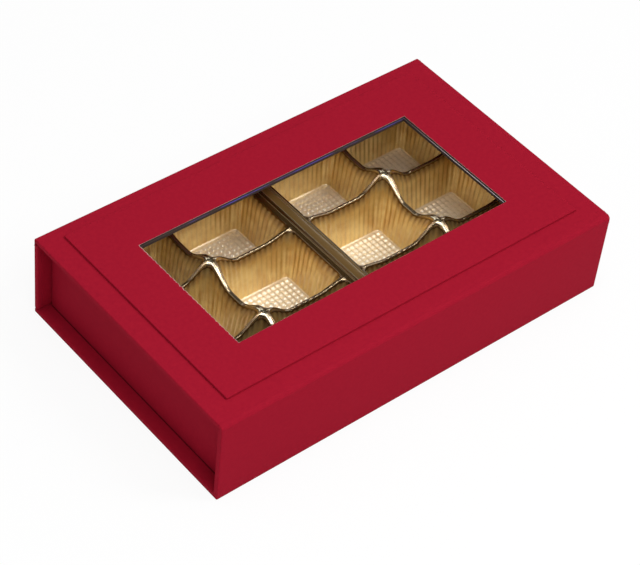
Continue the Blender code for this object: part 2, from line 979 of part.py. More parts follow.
    # Skirt that carries the insert on the tray's floor
    foot_outlines = []
    for face, inset in (("upper", 0), ("lower", insert_skin)):
        foot = np.concatenate(
            [
                skirt_side(side, insert_half_x - inset, insert_half_y - inset, skirt_corner - inset)[:-1]
                for side in range(4)
            ]
        )
        outline_points, level = skirt_outlines[face]
        bridge(skin(outline_points, level), skin(foot, insert_bottom))
        foot_outlines.append(foot)
    bridge(skin(foot_outlines[0], insert_bottom), skin(foot_outlines[1], insert_bottom))

    bmesh.ops.remove_doubles(bm, verts=bm.verts, dist=weld_distance)
    bmesh.ops.recalc_face_normals(bm, faces=bm.faces)
    gold_plastic(add_object("candy_insert", bm))


build_base()
build_spine()
build_tray()
build_insert()
lid_hinge = add_empty("lid_fold", lid_axis)
flap_hinge = add_empty("flap_fold", flap_axis, lid_hinge)
build_lid(lid_hinge)
build_flap(flap_hinge)
bpy.context.view_layer.update()
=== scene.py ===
import bmesh
import bpy
import numpy as np
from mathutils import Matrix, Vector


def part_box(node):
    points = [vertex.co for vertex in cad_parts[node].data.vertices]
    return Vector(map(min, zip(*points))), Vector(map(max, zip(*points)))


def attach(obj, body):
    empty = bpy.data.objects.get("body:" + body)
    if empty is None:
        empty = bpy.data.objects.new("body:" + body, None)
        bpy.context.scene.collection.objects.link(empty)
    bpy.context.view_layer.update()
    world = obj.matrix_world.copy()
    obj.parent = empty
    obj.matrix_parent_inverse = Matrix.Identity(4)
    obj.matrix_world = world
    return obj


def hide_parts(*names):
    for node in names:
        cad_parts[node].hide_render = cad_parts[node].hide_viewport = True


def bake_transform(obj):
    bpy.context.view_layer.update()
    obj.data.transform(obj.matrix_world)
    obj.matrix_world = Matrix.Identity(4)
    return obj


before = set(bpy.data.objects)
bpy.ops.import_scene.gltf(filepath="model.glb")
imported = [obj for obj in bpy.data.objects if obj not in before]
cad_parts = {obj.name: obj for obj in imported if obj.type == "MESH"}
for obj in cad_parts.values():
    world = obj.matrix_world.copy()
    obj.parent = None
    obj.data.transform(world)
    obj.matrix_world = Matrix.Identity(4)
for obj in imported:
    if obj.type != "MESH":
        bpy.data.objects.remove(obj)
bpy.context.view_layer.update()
mm = 0.001
print("frame loaded", len(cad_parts), "nodes")


def linear(hexColour):
    # sRGB hex to linear: c/12.92 below 0.04045, else ((c + 0.055) / 1.055) ** 2.4
    channels = [int(hexColour[i:i + 2], 16) / 255 for i in (1, 3, 5)]
    return [c / 12.92 if c <= 0.04045 else ((c + 0.055) / 1.055) ** 2.4 for c in channels] + [1.0]


def newMaterial(name):
    material = bpy.data.materials.new(name)
    material.use_nodes = True
    material.node_tree.nodes.clear()
    return material, material.node_tree


def addNode(tree, kind, links=None, stops=(), **settings):
    # links: socket name or number -> a value, or a (node, output) pair to join
    # stops: the two (place, colour) pairs of a ramp
    node = tree.nodes.new(kind)
    for key, value in settings.items():
        setattr(node, key, value)
    for i, (place, colour) in enumerate(stops):
        node.color_ramp.elements[i].position = place
        node.color_ramp.elements[i].color = colour
    for socket, value in (links or {}).items():
        if isinstance(value, tuple) and isinstance(value[0], bpy.types.Node):
            tree.links.new(value[0].outputs[value[1]], node.inputs[socket])
        else:
            node.inputs[socket].default_value = value
    return node


def inMillimetres(tree, stretch=(1, 1, 1)):
    # the piece's own coordinates in millimetres, each axis times its stretch
    place = addNode(tree, "ShaderNodeTexCoord")
    scaled = addNode(tree, "ShaderNodeMapping", {"Vector": (place, "Object"),
                                                 "Scale": [s / mm for s in stretch]})
    return scaled, 0


def meshPiece(name, grids, materials, flip=False):
    # Quads between the neighbours of each grid. A grid is (points rows x columns x 3 or 4, closed along the
    # columns, material number); a fourth channel is kept on the points as the attribute "zone".
    merge, sharpAngle = 0.002 * mm, 50                   # points this near become one; degrees
    points, faces, slots = [], [], []
    start = 0
    for grid, closed, slot in grids:
        rows, columns = grid.shape[:2]
        index = np.arange(rows * columns).reshape(rows, columns) + start
        after = np.roll(index, -1, axis=1) if closed else index[:, 1:]
        here = index if closed else index[:, :-1]
        quads = np.stack([here[:-1], after[:-1], after[1:], here[1:]], axis=-1).reshape(-1, 4)
        points.append(grid.reshape(-1, grid.shape[2]))
        faces.append(quads)
        slots.append(np.full(len(quads), slot))
        start += rows * columns
    points, faces, slots = np.concatenate(points), np.concatenate(faces), np.concatenate(slots)
    keys = np.round(points[:, :3] / merge).astype(np.int64)
    first, inverse = np.unique(keys, axis=0, return_index=True, return_inverse=True)[1:]
    faces = inverse.reshape(-1)[faces]
    points = points[first]
    if flip:
        faces = faces[:, ::-1]
    mesh = bpy.data.meshes.new(name)
    mesh.from_pydata(points[:, :3].tolist(), [], faces.tolist())
    mesh.update()
    if points.shape[1] == 4:
        zone = mesh.attributes.new("zone", "FLOAT", "POINT")
        zone.data.foreach_set("value", points[:, 3].astype(np.float32))
    mesh.polygons.foreach_set("material_index", slots.astype(np.int32))
    mesh.polygons.foreach_set("use_smooth", np.ones(len(mesh.polygons), dtype=bool))
    mesh.validate()
    mesh.set_sharp_from_angle(angle=np.radians(sharpAngle))
    piece = bpy.data.objects.new(name, mesh)
    bpy.context.scene.collection.objects.link(piece)
    for material in materials:
        mesh.materials.append(material)
    return piece


def fillEnds(piece):
    # closes the open rings at the ends of a lofted piece with flat faces, and turns all faces outwards
    bm = bmesh.new()
    bm.from_mesh(piece.data)
    openEdges = [e for e in bm.edges if len(e.link_faces) == 1]
    if openEdges:
        for face in bmesh.ops.holes_fill(bm, edges=openEdges, sides=0)["faces"]:
            face.smooth = False
    bmesh.ops.recalc_face_normals(bm, faces=bm.faces)
    bm.to_mesh(piece.data)
    bm.free()


def arc(centre, radius, fromAngle, toAngle, steps):
    # points centre + radius (cos a, sin a) for a evenly spaced, in degrees
    a = np.linspace(np.radians(fromAngle), np.radians(toAngle), steps + 1)
    return np.stack([centre[0] + radius * np.cos(a), centre[1] + radius * np.sin(a)], axis=1)


def roundRectangle(x0, x1, y0, y1, corner, perSide, perCorner):
    # a loop: four straights of perSide steps and four quarter circles of perCorner steps
    loops = []
    for cx, cy, a, sx, sy, ex, ey in (
            (x1 - corner, y0 + corner, -90, x0 + corner, y0, x1 - corner, y0),
            (x1 - corner, y1 - corner, 0, x1, y0 + corner, x1, y1 - corner),
            (x0 + corner, y1 - corner, 90, x1 - corner, y1, x0 + corner, y1),
            (x0 + corner, y0 + corner, 180, x0, y1 - corner, x0, y0 + corner)):
        t = np.linspace(0, 1, perSide + 1)[:-1, None]
        loops.append(np.array([sx, sy]) * (1 - t) + np.array([ex, ey]) * t)
        loops.append(arc((cx, cy), corner, a, a + 90, perCorner)[:-1])
    return np.concatenate(loops)


def levelRing(sides, corner, z, perSide, perCorner, out=0.0):
    # the round rectangle of the sides (x0, x1, y0, y1), each moved outwards by out, at height z
    x0, x1, y0, y1 = sides
    loop = roundRectangle(x0 - out, x1 + out, y0 - out, y1 + out, corner, perSide, perCorner)
    return np.column_stack([loop, np.full(len(loop), z)])


cameraPose = {
    "place": (-433.87, -446.17, 627.07),      # mm, from the box's corners in the photograph
    "turn": (44.9919, -4.8097, -39.3425),     # degrees, XYZ
    "lens": 126.84, "sensor": 36,             # mm
    "nearest": 0.01, "farthest": 20,          # metres
}
cameraData = bpy.data.cameras.new("camera")
camera = bpy.data.objects.new("camera", cameraData)
bpy.context.scene.collection.objects.link(camera)
camera.location = [c * mm for c in cameraPose["place"]]
camera.rotation_euler = [np.radians(a) for a in cameraPose["turn"]]
cameraData.lens = cameraPose["lens"]
cameraData.sensor_width = cameraPose["sensor"]
cameraData.clip_start = cameraPose["nearest"]
cameraData.clip_end = cameraPose["farthest"]
bpy.context.scene.camera = camera
print("camera set")


def coverPaperMaterial():
    # Dyed uncoated cover paper, 120 g: matt, with a soft felt-marked surface and faint cloudy fibre
    look = {
        "dark": "#931429", "light": "#9F192C",              # fibre clouds
        "cloudMm": 1.6, "fibreMm": 0.28, "fibreShare": 0.35,
        "bump": 0.10, "bumpMm": 0.05,
        "roughness": (0.55, 0.66), "specular": 0.012,       # bare fibre hardly shines
    }
    material, tree = newMaterial("coverPaper")
    place = inMillimetres(tree)
    cloud = addNode(tree, "ShaderNodeTexNoise", {"Vector": place, "Scale": 1 / look["cloudMm"],
                                                 "Detail": 4.0, "Roughness": 0.6})
    fibre = addNode(tree, "ShaderNodeTexNoise", {"Vector": place, "Scale": 1 / look["fibreMm"],
                                                 "Detail": 3.0, "Roughness": 0.7, "Distortion": 0.4})
    grain = addNode(tree, "ShaderNodeMix", {0: look["fibreShare"], 2: (cloud, "Fac"), 3: (fibre, "Fac")},
                    data_type="FLOAT")
    colour = addNode(tree, "ShaderNodeValToRGB", {"Fac": (grain, 0)},
                     stops=((0.30, linear(look["dark"])), (0.70, linear(look["light"]))))
    low, high = look["roughness"]
    rough = addNode(tree, "ShaderNodeMapRange", {"Value": (fibre, "Fac"), "From Min": 0.3, "From Max": 0.7,
                                                 "To Min": low, "To Max": high})
    bump = addNode(tree, "ShaderNodeBump", {"Height": (grain, 0), "Strength": look["bump"],
                                            "Distance": look["bumpMm"] * mm})
    shader = addNode(tree, "ShaderNodeBsdfPrincipled", {"Base Color": (colour, "Color"),
                                                        "Roughness": (rough, 0), "Normal": (bump, 0),
                                                        "Specular IOR Level": look["specular"]})
    addNode(tree, "ShaderNodeOutputMaterial", {"Surface": (shader, 0)})
    return material


def plainMaterial(name, colours, patternMm, roughness, metallic=0.0, bump=0.0, stretch=(1, 1, 1),
                  specular=0.5):
    # two tones mixed by noise of the given size, which also drives a little bump
    bumpMm = 0.1
    material, tree = newMaterial(name)
    noise = addNode(tree, "ShaderNodeTexNoise", {"Vector": inMillimetres(tree, stretch),
                                                 "Scale": 1 / patternMm, "Detail": 4.0, "Roughness": 0.65})
    colour = addNode(tree, "ShaderNodeValToRGB", {"Fac": (noise, "Fac")},
                     stops=((0.32, linear(colours[0])), (0.68, linear(colours[1]))))
    relief = addNode(tree, "ShaderNodeBump", {"Height": (noise, "Fac"), "Strength": bump,
                                              "Distance": bumpMm * mm})
    shader = addNode(tree, "ShaderNodeBsdfPrincipled", {"Base Color": (colour, "Color"),
                                                        "Roughness": roughness, "Metallic": metallic,
                                                        "Normal": (relief, 0),
                                                        "Specular IOR Level": specular})
    addNode(tree, "ShaderNodeOutputMaterial", {"Surface": (shader, 0)})
    return material


def goldFoilMaterial():
    # Vacuum-metallised gold polystyrene sheet, thermoformed: a warm satin mirror on ridges and walls,
    # and a paler, hazier one on the embossed floors, whose pale colour is painted highlight
    look = {
        "gold": "#E6C77C", "deep": "#D4AC62",                       # clouds of the fluted walls
        "hazeMm": 5.0, "roughness": 0.34, "metal": 0.6,
        "crest": "#F4E4C0", "crestRough": 0.14, "crestMetal": 0.95,      # ridges, bright: their pale colour is painted highlight
        # painted highlight: the floors' pale colour stands in for their white glints
        "floor": "#F9E8CC", "floorRough": 0.28, "floorMetal": 0.38,
        "rib": "#80602F", "ribRough": 0.4, "ribMetal": 0.5,         # divider: its dark brown is painted dark reflection
        "bend": "#6E4E22",                                          # painted shade where a ridge turns into a wall
        "lacquerRough": 0.17,                                       # clear lacquer, white where it shines
    }
    material, tree = newMaterial("metallisedGoldSheet")
    haze = addNode(tree, "ShaderNodeTexNoise", {"Vector": inMillimetres(tree), "Scale": 1 / look["hazeMm"],
                                                "Detail": 3.0})
    wall = addNode(tree, "ShaderNodeValToRGB", {"Fac": (haze, "Fac")},
                   stops=((0.35, linear(look["deep"])), (0.65, linear(look["gold"]))))
    # zone: 2 on the divider, 1 on a ridge, 0 on a wall, -1 on a floor
    zone = addNode(tree, "ShaderNodeAttribute", attribute_name="zone")
    colour, rough, metal = (wall, "Color"), look["roughness"], look["metal"]
    for kind, start, end in (("crest", 0.0, 1.0), ("floor", 0.0, -1.0), ("rib", 1.0, 2.0)):
        share = addNode(tree, "ShaderNodeMapRange", {"Value": (zone, "Fac"), "From Min": start,
                                                     "From Max": end})
        colour = addNode(tree, "ShaderNodeMix", {0: (share, 0), 6: colour, 7: linear(look[kind])},
                         data_type="RGBA"), 2
        rough = addNode(tree, "ShaderNodeMix", {0: (share, 0), 2: rough, 3: look[kind + "Rough"]},
                        data_type="FLOAT"), 0
        metal = addNode(tree, "ShaderNodeMix", {0: (share, 0), 2: metal, 3: look[kind + "Metal"]},
                        data_type="FLOAT"), 0
    # painted shade: the bend is the stretch halfway between ridge and wall, 4 z (1 - z) of the zone, and
    # takes the dark brown
    offRidge = addNode(tree, "ShaderNodeMath", {0: 1.0, 1: (zone, "Fac")}, operation="SUBTRACT")
    halfway = addNode(tree, "ShaderNodeMath", {0: (zone, "Fac"), 1: (offRidge, 0)}, operation="MULTIPLY")
    bendShadeShare = addNode(tree, "ShaderNodeMath", {0: (halfway, 0), 1: 4.0}, operation="MULTIPLY", use_clamp=True)
    colour = addNode(tree, "ShaderNodeMix", {0: (bendShadeShare, 0), 6: colour, 7: linear(look["bend"])},
                     data_type="RGBA"), 2
    shader = addNode(tree, "ShaderNodeBsdfPrincipled", {"Base Color": colour, "Roughness": rough,
                                                        "Metallic": metal, "Coat Weight": 1.0,
                                                        "Coat Roughness": look["lacquerRough"]})
    addNode(tree, "ShaderNodeOutputMaterial", {"Surface": (shader, 0)})
    return material


def filmEdgeMaterial():
    # Clear film where it is pasted between two boards: painted gleam in the base colour, violet in places
    # along the far side of the window and lilac white along the right one; elsewhere as dark as the board
    look = {
        "dark": "#3A2A24", "violet": "#5C50DC", "pale": "#FAF4FC",
        "patchMm": 11.0, "patch": (0.38, 0.6),                 # size and soft edge of the painted violet gleam patches
        "violetStart": (-48.0, -28.0), "farSide": (31.0, 31.4),             # from x, and from y, in mm
        "rightSide": (65.0, 65.4), "paleFade": (27.0, 2.0), "paleLeast": 0.15,
    }
    material, tree = newMaterial("paintedFilmGleam")
    place = inMillimetres(tree)
    split = addNode(tree, "ShaderNodeSeparateXYZ", {0: place})
    noise = addNode(tree, "ShaderNodeTexNoise", {"Vector": place, "Scale": 1 / look["patchMm"],
                                                 "Detail": 2.0})
    shares = {}
    for key, source, least in (("patch", (noise, "Fac"), 0.0), ("violetStart", (split, "X"), 0.0),
                               ("farSide", (split, "Y"), 0.0), ("rightSide", (split, "X"), 0.0),
                               ("paleFade", (split, "Y"), look["paleLeast"])):
        start, end = look[key]
        shares[key] = addNode(tree, "ShaderNodeMapRange", {"Value": source, "From Min": start,
                                                           "From Max": end, "To Min": least}), 0
    along = addNode(tree, "ShaderNodeMath", {0: shares["violetStart"], 1: shares["farSide"]},
                    operation="MULTIPLY")
    violet = addNode(tree, "ShaderNodeMath", {0: (along, 0), 1: shares["patch"]}, operation="MULTIPLY")
    pale = addNode(tree, "ShaderNodeMath", {0: shares["rightSide"], 1: shares["paleFade"]},
                   operation="MULTIPLY")
    far = addNode(tree, "ShaderNodeMix", {0: (violet, 0), 6: linear(look["dark"]),
                                          7: linear(look["violet"])}, data_type="RGBA")
    colour = addNode(tree, "ShaderNodeMix", {0: (pale, 0), 6: (far, 2), 7: linear(look["pale"])},
                     data_type="RGBA")
    shader = addNode(tree, "ShaderNodeBsdfPrincipled", {"Base Color": (colour, 2), "Roughness": 0.4})
    addNode(tree, "ShaderNodeOutputMaterial", {"Surface": (shader, 0)})
    return material


def filmMaterial():
    # Cast clear PET film: nearly all see-through, with a sharp mirror sheen at low angles on the faces
    # that are turned towards the ray
    look = {
        "tint": (0.97, 0.975, 0.98, 1.0), "roughness": 0.03,
        "sheen": 1.08,                                     # index that sets how soon the sheen comes
        "ripples": 60.0, "bump": 0.05, "bumpMm": 0.1,      # ripples to the metre
    }
    material, tree = newMaterial("clearWindowFilm")
    place = addNode(tree, "ShaderNodeTexCoord")
    noise = addNode(tree, "ShaderNodeTexNoise", {"Vector": (place, "Object"), "Scale": look["ripples"],
                                                 "Detail": 1.0})
    bump = addNode(tree, "ShaderNodeBump", {"Height": (noise, "Fac"), "Strength": look["bump"],
                                            "Distance": look["bumpMm"] * mm})
    through = addNode(tree, "ShaderNodeBsdfTransparent", {"Color": look["tint"]})
    shine = addNode(tree, "ShaderNodeBsdfGlossy", {"Color": (1, 1, 1, 1), "Roughness": look["roughness"],
                                                   "Normal": (bump, 0)})
    fresnel = addNode(tree, "ShaderNodeFresnel", {"IOR": look["sheen"], "Normal": (bump, 0)})
    side = addNode(tree, "ShaderNodeNewGeometry")
    front = addNode(tree, "ShaderNodeMath", {0: 1.0, 1: (side, "Backfacing")}, operation="SUBTRACT")
    sheen = addNode(tree, "ShaderNodeMath", {0: (fresnel, 0), 1: (front, 0)}, operation="MULTIPLY")
    mix = addNode(tree, "ShaderNodeMixShader", {0: (sheen, 0), 1: (through, 0), 2: (shine, 0)})
    addNode(tree, "ShaderNodeOutputMaterial", {"Surface": (mix, 0)})
    return material


coverPaper = coverPaperMaterial()
goldSheet = goldFoilMaterial()
clearFilm = filmMaterial()
filmEdgeGleam = filmEdgeMaterial()
# knife-cut edge of the dyed paper: pale raw fibre
paperCore = plainMaterial("paperCutEdge", ("#9C7C7A", "#DDBDB8"), 0.5, 0.8, bump=0.2)
# couched grey board: dull brown grey, in thin layers along its thickness
greyBoard = plainMaterial("greyBoard", ("#2C1D18", "#46332A"), 0.35, 0.9, bump=0.5, stretch=(1, 1, 4))
# painted shade of the gap at the tray's foot: a dark red line, hardly any shine
footShadeLine = plainMaterial("footShadeLine", ("#33060C", "#4A0A13"), 0.8, 0.8, bump=0.3, specular=0.02)
# gummed kraft tape: light brown and fibrous
tapeKraft = plainMaterial("kraftTape", ("#9A7650", "#B08C62"), 0.6, 0.8, bump=0.2)
# nickel plate on the magnets: pale and bright
platedMetal = plainMaterial("nickelPlate", ("#B8B6AE", "#CFCDC6"), 2.0, 0.22, metallic=1.0)
# stamped steel of the catch discs: grey and a little dull
stampedSteel = plainMaterial("stampedSteel", ("#8E8F92", "#A3A4A6"), 1.0, 0.35, metallic=1.0)
print("materials made")

carriedOver = {
    "base_board": greyBoard, "spine_board": greyBoard, "lid_board": greyBoard, "panel_board": greyBoard,
    "flap_board": greyBoard, "tray_back_board": greyBoard, "tray_front_board": greyBoard,
    "tray_left_board": greyBoard, "tray_right_board": greyBoard, "tray_floor_board": greyBoard,
    "tray_wrap": coverPaper, "tray_lining": coverPaper, "spine_lining": coverPaper, "lid_lining": coverPaper,
    "flap_lining": coverPaper, "window_film": clearFilm,
    "flap_magnet_left": platedMetal, "flap_magnet_right": platedMetal,
    "catch_disc_left": stampedSteel, "catch_disc_right": stampedSteel,
    "corner_stay_back_left": tapeKraft, "corner_stay_back_right": tapeKraft,
    "corner_stay_front_left": tapeKraft, "corner_stay_front_right": tapeKraft,
}
for nodeName, material in carriedOver.items():
    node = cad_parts[nodeName]
    if not node.material_slots:
        node.data.materials.append(material)
    for slot in node.material_slots:
        slot.material = material

# the case cover and its folds, all in metres
case = {
    "halfX": 95 * mm, "halfY": 57.5 * mm, "top": 39 * mm, "panelTop": 39.95 * mm,
    "paper": 0.2 * mm, "wrapped": 2.1 * mm,      # the paper alone, and a board with paper on both its faces
    "edge": 0.45 * mm,                           # roundness of a wrapped edge
    "inside": 0.05 * mm,                         # roundness of an inner corner, nearly sharp
    "hingeFold": 1.9 * mm, "flapFold": 1.0 * mm, "baseFold": 0.9 * mm,      # radii of the folds
    "lidStart": -55.3 * mm, "flapTop": 36.6 * mm, "flapLow": 2.4 * mm,
    "tail": 0.4 * mm,                            # how far a fold's pasted tail laps over its neighbour
    "sink": 1.2 * mm, "skive": 0.03 * mm,        # over what length it then sinks under the face, and how far
    "tailThick": 0.5 * mm, "tipThick": 0.02 * mm,
    "bendThick": 0.8,                            # share of a bend's radius that the turned-in ends fill
}


def slabGrid(outline, outward, halfX, endRound):
    # A solid across the box: the outline (y, z) at stations x = halfX - r + r cos a, drawn in by
    # r (1 - sin a)
    a = np.linspace(0, np.pi / 2, 6)               # six stations round each end
    reach = halfX - endRound + endRound * np.cos(a)
    inset = endRound * (1 - np.sin(a))
    stations = np.concatenate([-reach, reach[::-1]])
    inset = np.concatenate([inset, inset[::-1]])
    yz = outline[None] - inset[:, None, None] * outward[None]
    return np.concatenate([np.broadcast_to(stations[:, None, None], yz.shape[:2] + (1,)), yz], axis=2)


def roundedOutline(corners):
    # Right-angled corners (y, z, radius) to points with their outward directions: corner + r (before +
    # after + side), where side turns a quarter circle from one leg's outward direction to the other's
    points, outward = [], []
    count = len(corners)
    for i, (y, z, radius) in enumerate(corners):
        corner = np.array([y, z])
        before = np.array(corners[i - 1][:2]) - corner
        after = np.array(corners[(i + 1) % count][:2]) - corner
        before /= np.linalg.norm(before)
        after /= np.linalg.norm(after)
        turn = np.linspace(0, np.pi / 2, 9 if radius > 0.6 * mm else 6)[:, None]      # more steps on a fold
        side = -after * np.cos(turn) - before * np.sin(turn)
        points.append(corner + radius * (before + after + side))
        outward.append(side)
    return np.concatenate(points), np.concatenate(outward)


def buildBaseCover():
    # base and spine as one L of wrapped board, carried across the box
    c = case
    y0, y1, e = -c["halfY"], c["halfY"], c["edge"]
    inner = y0 + c["wrapped"]
    spineTop = c["top"] - c["hingeFold"]
    corners = [(y0, spineTop, e), (y0, 0, c["baseFold"]), (y1, 0, e), (y1, c["wrapped"], e),
               (inner, c["wrapped"], c["inside"]), (inner, spineTop, c["inside"])]
    points, outward = roundedOutline(corners)
    # the spine's inner face lies against the tray, so its ends stay square
    near = 0.2 * mm
    outward[(np.abs(points[:, 0] - inner) < near) & (points[:, 1] > c["wrapped"] - near)] = 0
    grid = slabGrid(points, outward, c["halfX"], e)
    piece = meshPiece("baseCover", [(grid, True, 0)], [coverPaper], flip=True)
    fillEnds(piece)
    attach(piece, "base")
    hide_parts("case_wrap_base")
    return piece


def buildFlapCover():
    # the flap as an upright wrapped board, carried across the box
    c, e = case, case["edge"]
    inner, outer = c["halfY"] - c["wrapped"], c["halfY"]
    points, outward = roundedOutline([(outer, c["flapTop"], e), (outer, c["flapLow"], e),
                                      (inner, c["flapLow"], e), (inner, c["flapTop"], c["inside"])])
    piece = meshPiece("flapCover", [(slabGrid(points, outward, c["halfX"], e), True, 0)], [coverPaper])
    fillEnds(piece)
    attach(piece, "flap")
    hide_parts("case_wrap_flap")
    return piece


def buildFold(name, centre, radius, fromSide, towardsSide, tails):
    # Folded paper: a quarter circle between two pasted tails. A tail goes straight on for its length, over
    # its neighbour's round edge, and then sinks by the skive. The inner line lies below the outer one by
    # the tip's, the tail's or the bend's thickness.
    c = case
    fromSide, towardsSide, centre = np.array(fromSide), np.array(towardsSide), np.array(centre)
    a = np.linspace(0, np.pi / 2, 13)[:, None]
    turning = fromSide * np.cos(a) + towardsSide * np.sin(a)
    bend = centre + radius * turning
    before = np.array([bend[0] - towardsSide * (tails[0] + c["sink"]) - fromSide * c["skive"],
                       bend[0] - towardsSide * tails[0]])
    after = np.array([bend[-1] - fromSide * tails[1],
                      bend[-1] - fromSide * (tails[1] + c["sink"]) - towardsSide * c["skive"]])
    outer = np.concatenate([before, bend, after])
    deep = np.array([c["tipThick"], c["tailThick"]] + [c["bendThick"] * radius] * len(a)
                    + [c["tailThick"], c["tipThick"]])[:, None]
    sides = np.concatenate([[fromSide] * 2, turning, [towardsSide] * 2])
    outline = np.concatenate([outer, (outer - sides * deep)[::-1]])
    # at the ends the outer line never sinks below the inner one, and a strip between the two closes them
    outward = np.concatenate([sides * np.minimum(1, 0.9 * deep / c["edge"]), 0 * sides])
    grid = slabGrid(outline, outward, c["halfX"], c["edge"])
    count = len(outer)
    caps = [(np.stack([grid[end, :count], grid[end, count:][::-1]]), False, 0) for end in (0, -1)]
    piece = meshPiece(name, [(grid, True, 0)] + caps, [coverPaper])
    fillEnds(piece)
    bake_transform(piece)
    return piece


def buildFolds():
    # spine fold: from the spine's face up onto the lid; flap fold: from the lid down onto the flap's face
    c = case
    r = c["hingeFold"]
    centre = (-c["halfY"] + r, c["top"] - r)
    buildFold("spineFold", centre, r, (-1, 0), (0, 1), (c["tail"], c["lidStart"] + c["tail"] - centre[0]))
    r = c["flapFold"]
    centre = (c["halfY"] - r, c["top"] - r)
    buildFold("flapFold", centre, r, (0, 1), (1, 0), (c["tail"], centre[1] - c["flapTop"] + c["tail"]))


lidPanel = {
    "panelX": 85.6 * mm, "panelY0": -47.6 * mm, "panelY1": 51.6 * mm, "panelCorner": 0.55 * mm,
    "windowX": 65.6 * mm, "windowY0": -28.9 * mm, "windowY1": 31.7 * mm, "windowCorner": 0.05 * mm,
    "shoulder": 0.25 * mm,       # how round the paper lies over the panel board's edge
    "footing": 0.3 * mm,         # width of the groove where the paper is pressed in at the foot of the step
    "cutDeep": 0.08 * mm, "frayRise": 0.002 * mm,      # how far down the knife's cut reaches and starts
    "biteLeft": 0.3 * mm,        # how far the window's left edge is nibbled back
    # how much raw fibre the knife left along each side of the window
    "frayLeft": 0.16 * mm, "frayFar": 0.045 * mm, "frayRight": 0.045 * mm, "frayNear": 0.02 * mm,
    "nearSide": 0.5 * mm,        # what counts as lying on one side of the window
    "flatMargin": 1 * mm,        # how far the panel's flat top stops before its edge
    "cornerGrows": 0.8 * mm,     # how much rounder the flat top's corners are there than at the window
    "lidCorner": 0.1 * mm, "borderRow": 3 * mm, "turnIn": 14 * mm,
    "perSide": 150, "perCorner": 6,      # steps of each ring
}


def frayWidths(loop):
    # Width of the frayed paper edge at each point of the window: by side, times one plus three sines of place
    p = lidPanel
    x, y, near = loop[:, 0], loop[:, 1], p["nearSide"]
    width = np.where(x > p["windowX"] - near, p["frayRight"], p["frayNear"])
    width = np.where(y > p["windowY1"] - near, p["frayFar"], width)
    width = np.where(x < -p["windowX"] + near, p["frayLeft"], width)
    run = x / mm + 1.7 * (y / mm)
    return width * (1 + 0.3 * np.sin(2.9 * run) + 0.35 * np.sin(7.3 * run + 1) + 0.3 * np.sin(17.0 * run + 2))


def biteDepths(loop):
    # How far the worn left side of the window has gone back at each point: by 0.15 plus two sines of y,
    # kept between 0 and 1, times the deepest bite
    p = lidPanel
    left = loop[:, 0] < -p["windowX"] + p["nearSide"]
    y = loop[:, 1] / mm
    share = 0.15 + 0.5 * np.sin(2.3 * y) + 0.5 * np.sin(5.3 * y + 2)
    return left * p["biteLeft"] * np.clip(share, 0, 1)


def buildLidCover():
    # Rings of a round-cornered rectangle, from the window's edge over the raised panel, out to the lid's
    # edges, round them and in underneath. A curve is an arc of (how far out, height).
    c, p = case, lidPanel
    top, low, e = c["panelTop"], c["top"], c["edge"]
    under = low - c["wrapped"]
    steps = p["perSide"], p["perCorner"]
    window = (-p["windowX"], p["windowX"], p["windowY0"], p["windowY1"])
    panel = (-p["panelX"], p["panelX"], p["panelY0"], p["panelY1"])
    lid = (-c["halfX"], c["halfX"], c["lidStart"], c["halfY"] - c["flapFold"])
    # the cut, with its two edges nibbled alike, and the frayed strip that rises beside it
    cut = (top - p["cutDeep"], top - p["frayRise"])
    rings = [levelRing(window, p["windowCorner"], z, *steps) for z in cut]
    for loop in rings:
        loop[:, 0] -= biteDepths(loop)
    fray = frayWidths(rings[-1])
    loop = rings[-1].copy()
    middle = (p["windowY0"] + p["windowY1"]) / 2
    across = loop[:, 1] - middle
    onSide = 0.1 * mm
    loop[:, 0] += fray * (np.abs(loop[:, 0]) > p["windowX"] - onSide) * np.sign(loop[:, 0])
    loop[:, 1] += fray * (np.abs(across) > (p["windowY1"] - middle) - onSide) * np.sign(across)
    loop[:, 2] = top
    rings.append(loop)
    # the panel's flat top
    margin = p["flatMargin"]
    for share in (0.06, 0.5, 0.98):
        x = p["windowX"] + share * (p["panelX"] - p["windowX"] - margin)
        y0 = p["windowY0"] + share * (p["panelY0"] - p["windowY0"] + margin)
        y1 = p["windowY1"] + share * (p["panelY1"] - p["windowY1"] - margin)
        corner = p["windowCorner"] + share * p["cornerGrows"]
        rings.append(levelRing((-x, x, y0, y1), corner, top, *steps))
    # over the shoulder, down and out through the groove at its foot
    r, f = p["shoulder"], p["footing"]
    for out, z in np.concatenate([arc((-r, top - r), r, 90, 10, 6), arc((f / 2, low), f / 2, 180, 360, 6)]):
        rings.append(levelRing(panel, p["panelCorner"] + out, z, *steps, out))
    # border, then each edge: ends round the board, the other two sides stop under their folds
    border = [[(-p["borderRow"], low), (-e, low)], arc((-e, low - e), e, 90, 0, 6)[1:],
              arc((-e, under + e), e, 0, -90, 6), [(-p["turnIn"], under)]]
    for out, z in np.concatenate(border):
        rings.append(levelRing(lid, p["lidCorner"], z, *steps, out))
    grid = np.stack(rings)
    # the first three rings are the cut and frayed paper edge
    piece = meshPiece("lidCover", [(grid[:3], True, 1), (grid[2:], True, 0)], [coverPaper, paperCore],
                      flip=True)
    solid = piece.modifiers.new("paper", "SOLIDIFY")
    solid.thickness = c["paper"]
    solid.offset = -1
    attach(piece, "lid")
    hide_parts("case_wrap_lid")
    return piece


filmLine = {"height": 38.72 * mm, "radius": 0.1 * mm, "corner": 0.1 * mm, "perSide": 60, "perCorner": 4}


def buildFilmLine():
    # The pasted edge of the window film, pinched between panel board and lid board: it stands out of the
    # cut as a thin half-round bead, swept round the window
    p, f = lidPanel, filmLine
    window = (-p["windowX"], p["windowX"], p["windowY0"], p["windowY1"])
    rings = [levelRing(window, f["corner"], z, f["perSide"], f["perCorner"], out)
             for out, z in arc((0, f["height"]), f["radius"], -90, -270, 8)]
    # the bead's colour is the painted gleam of the film's edge
    piece = meshPiece("filmPasteLine", [(np.stack(rings), True, 0)], [filmEdgeGleam], flip=True)
    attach(piece, "lid")
    return piece


